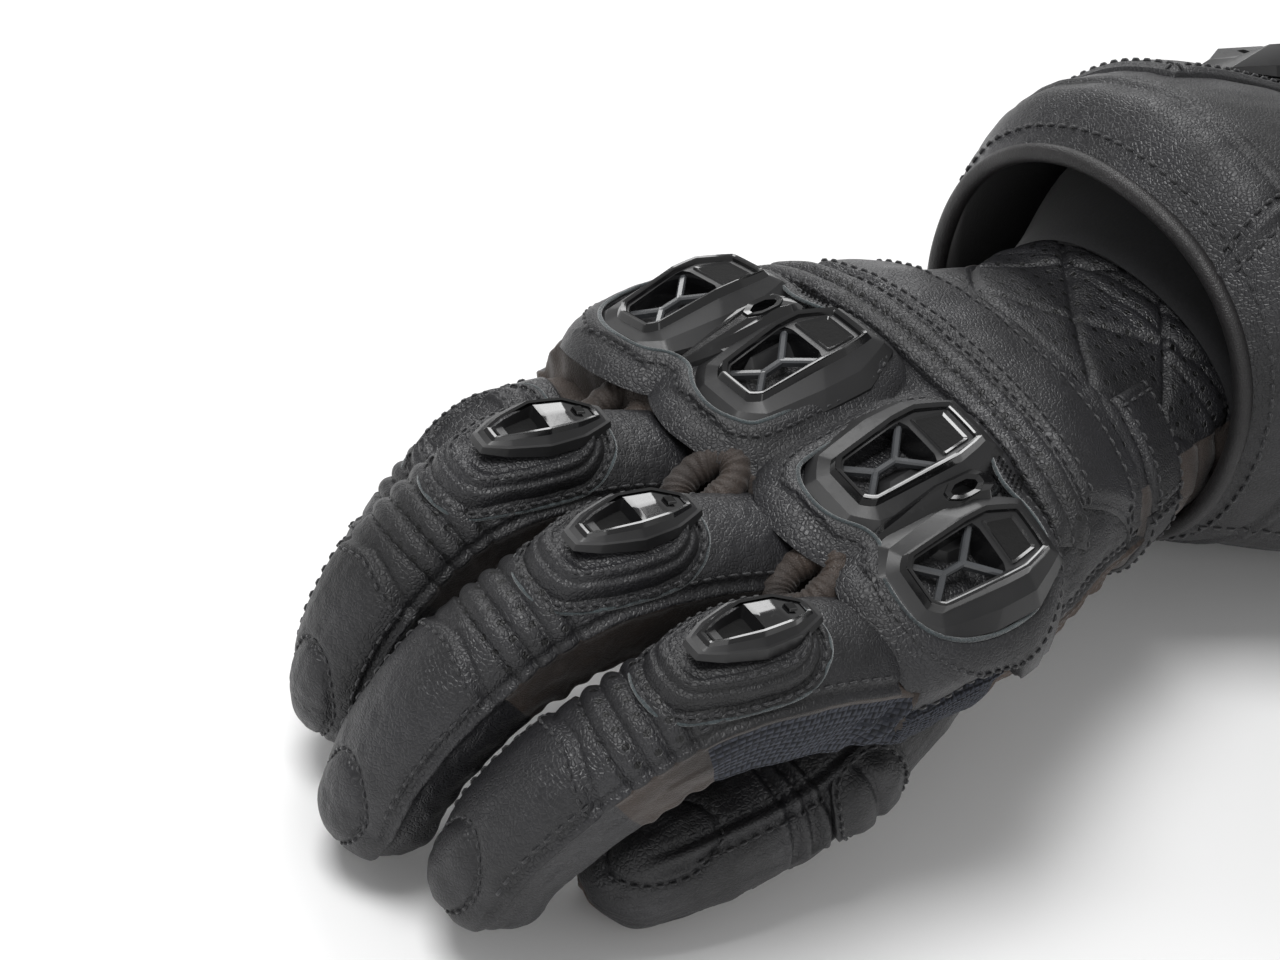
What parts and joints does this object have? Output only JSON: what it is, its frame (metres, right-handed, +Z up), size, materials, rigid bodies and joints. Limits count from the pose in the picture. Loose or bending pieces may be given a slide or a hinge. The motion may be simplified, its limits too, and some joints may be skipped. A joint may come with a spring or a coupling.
{
  "type": "motorcycle riding glove",
  "caption": "Right-hand leather race gauntlet glove with hard vented knuckle shells, finger sliders, palm slider and a flared forearm cuff.",
  "frame": {"origin": "centre of the footprint, on the floor under the resting glove", "axes": "+Y from the fingertips to the cuff, +X to the thumb side, +Z up out of the back of the hand"},
  "size_m": [0.1234, 0.2705, 0.0937],
  "materials": {
    "leather": "satin grain",
    "soft_leather": "soft matt",
    "suede": "napped, embossed dots",
    "textile": "coarse woven stretch",
    "lining": "knitted, matt",
    "edge": "smooth piping",
    "shell": "satin moulded",
    "gloss": "polished moulded"
  },
  "bodies": {
    "hand": {"back_of_hand_panel": "leather", "palm_panel": "suede", "finger_web": "soft_leather", "knuckle_shell_index_middle": "shell", "knuckle_shell_ring_pinky": "shell", "knuckle_grille_index": "gloss", "knuckle_grille_middle": "gloss", "knuckle_grille_ring": "gloss", "knuckle_grille_pinky": "gloss", "knuckle_pad_index_middle": "leather", "knuckle_pad_ring_pinky": "leather", "flex_band": "leather", "back_bridge_band": "leather", "index_root_gusset": "soft_leather", "middle_root_gusset": "soft_leather", "ring_root_gusset": "soft_leather", "pinky_root_gusset": "soft_leather", "thumb_root_gusset": "soft_leather", "palm_slider": "shell", "palm_slider_pad": "suede", "wrist_sleeve": "leather", "wrist_strap": "leather"},
    "index_base": {"index_sleeve": "soft_leather", "index_pad": "leather", "index_accordion": "leather", "index_slider": "gloss", "stretch_panel": "textile"},
    "index_end": {"index_fingertip": "leather"},
    "middle_base": {"middle_sleeve": "soft_leather", "middle_pad": "leather", "middle_accordion": "leather", "middle_slider": "gloss"},
    "middle_end": {"middle_fingertip": "leather"},
    "ring_base": {"ring_sleeve": "soft_leather", "ring_pad": "leather", "ring_accordion": "leather", "ring_slider": "gloss"},
    "ring_end": {"ring_fingertip": "leather"},
    "pinky_base": {"pinky_sleeve": "soft_leather", "pinky_pad": "leather", "pinky_accordion": "leather"},
    "pinky_end": {"pinky_fingertip": "leather"},
    "thumb_base": {"thumb_sleeve": "suede", "thumb_pad": "leather", "thumb_joint_gusset": "soft_leather"},
    "thumb_end": {"thumb_tip": "leather"},
    "cuff": {"cuff_outer": "leather", "cuff_lining": "lining", "cuff_front_binding": "edge", "cuff_rear_binding": "edge", "cuff_guard": "shell", "cuff_guard_pad": "leather"},
    "strap_tab": {"strap_tab": "leather"},
    "cuff_flap": {"cuff_flap": "leather", "ulna_guard": "shell"}
  },
  "joints": [
    {"name": "index_root", "type": "hinge", "parent": "hand", "child": "index_base", "pos_m": [0.03071, -0.06699, 0.04494], "axis": [1, 0, 0], "range_deg": [-10, 4], "stiffness_Nm_per_rad": 0.6, "deforming": ["index_root_gusset"]},
    {"name": "index_mid", "type": "hinge", "parent": "index_base", "child": "index_end", "pos_m": [0.02764, -0.10085, 0.0368], "axis": [0.9719, -0.2343, -0.0213], "range_deg": [-30, 4], "stiffness_Nm_per_rad": 0.6, "deforming": ["index_accordion"]},
    {"name": "middle_root", "type": "hinge", "parent": "hand", "child": "middle_base", "pos_m": [0.00603, -0.06698, 0.04688], "axis": [1, 0, 0], "range_deg": [-20, 30], "stiffness_Nm_per_rad": 0.6, "deforming": ["middle_root_gusset"]},
    {"name": "middle_mid", "type": "hinge", "parent": "middle_base", "child": "middle_end", "pos_m": [0.00152, -0.10406, 0.03836], "axis": [0.9868, -0.1618, -0.0018], "range_deg": [-30, 35], "stiffness_Nm_per_rad": 0.6, "deforming": ["middle_accordion"]},
    {"name": "ring_root", "type": "hinge", "parent": "hand", "child": "ring_base", "pos_m": [-0.01863, -0.06697, 0.04583], "axis": [1, 0, 0], "range_deg": [-18, 30], "stiffness_Nm_per_rad": 0.6, "deforming": ["ring_root_gusset"]},
    {"name": "ring_mid", "type": "hinge", "parent": "ring_base", "child": "ring_end", "pos_m": [-0.02415, -0.10087, 0.03734], "axis": [0.9953, -0.0947, 0.0217], "range_deg": [-30, 35], "stiffness_Nm_per_rad": 0.6, "deforming": ["ring_accordion"]},
    {"name": "pinky_root", "type": "hinge", "parent": "hand", "child": "pinky_base", "pos_m": [-0.04132, -0.06689, 0.03884], "axis": [1, 0, 0], "range_deg": [-25, 30], "stiffness_Nm_per_rad": 0.6, "deforming": ["pinky_root_gusset"]},
    {"name": "pinky_mid", "type": "hinge", "parent": "pinky_base", "child": "pinky_end", "pos_m": [-0.04476, -0.08131, 0.02209], "axis": [0.9967, -0.0769, 0.0272], "range_deg": [-30, 35], "stiffness_Nm_per_rad": 0.6, "deforming": ["pinky_accordion"]},
    {"name": "thumb_root", "type": "hinge", "parent": "hand", "child": "thumb_base", "pos_m": [0.02647, -0.0541, 0.02676], "axis": [0, 0, 1], "range_deg": [-8, 25], "stiffness_Nm_per_rad": 0.6, "deforming": ["thumb_root_gusset"]},
    {"name": "thumb_mid", "type": "hinge", "parent": "thumb_base", "child": "thumb_end", "pos_m": [0.02947, -0.07477, 0.0186], "axis": [0, 0, 1], "range_deg": [-25, 8], "stiffness_Nm_per_rad": 0.6, "deforming": ["thumb_joint_gusset"]},
    {"name": "wrist", "type": "hinge", "parent": "hand", "child": "cuff", "pos_m": [-0.01015, 0.02445, 0.0404], "axis": [1, 0, 0], "range_deg": [-15, 15], "stiffness_Nm_per_rad": 1.5, "deforming": ["wrist_sleeve"]},
    {"name": "strap_tab", "type": "hinge", "parent": "hand", "child": "strap_tab", "pos_m": [0.02515, 0.01695, 0.04505], "axis": [-0.307, 0.9517, 0], "range_deg": [0, 60]},
    {"name": "cuff_flap", "type": "hinge", "parent": "cuff", "child": "cuff_flap", "pos_m": [-0.0593, 0.09045, 0.0347], "axis": [-0.0719, -0.9974, 0], "range_deg": [0, 70]}
  ]
}
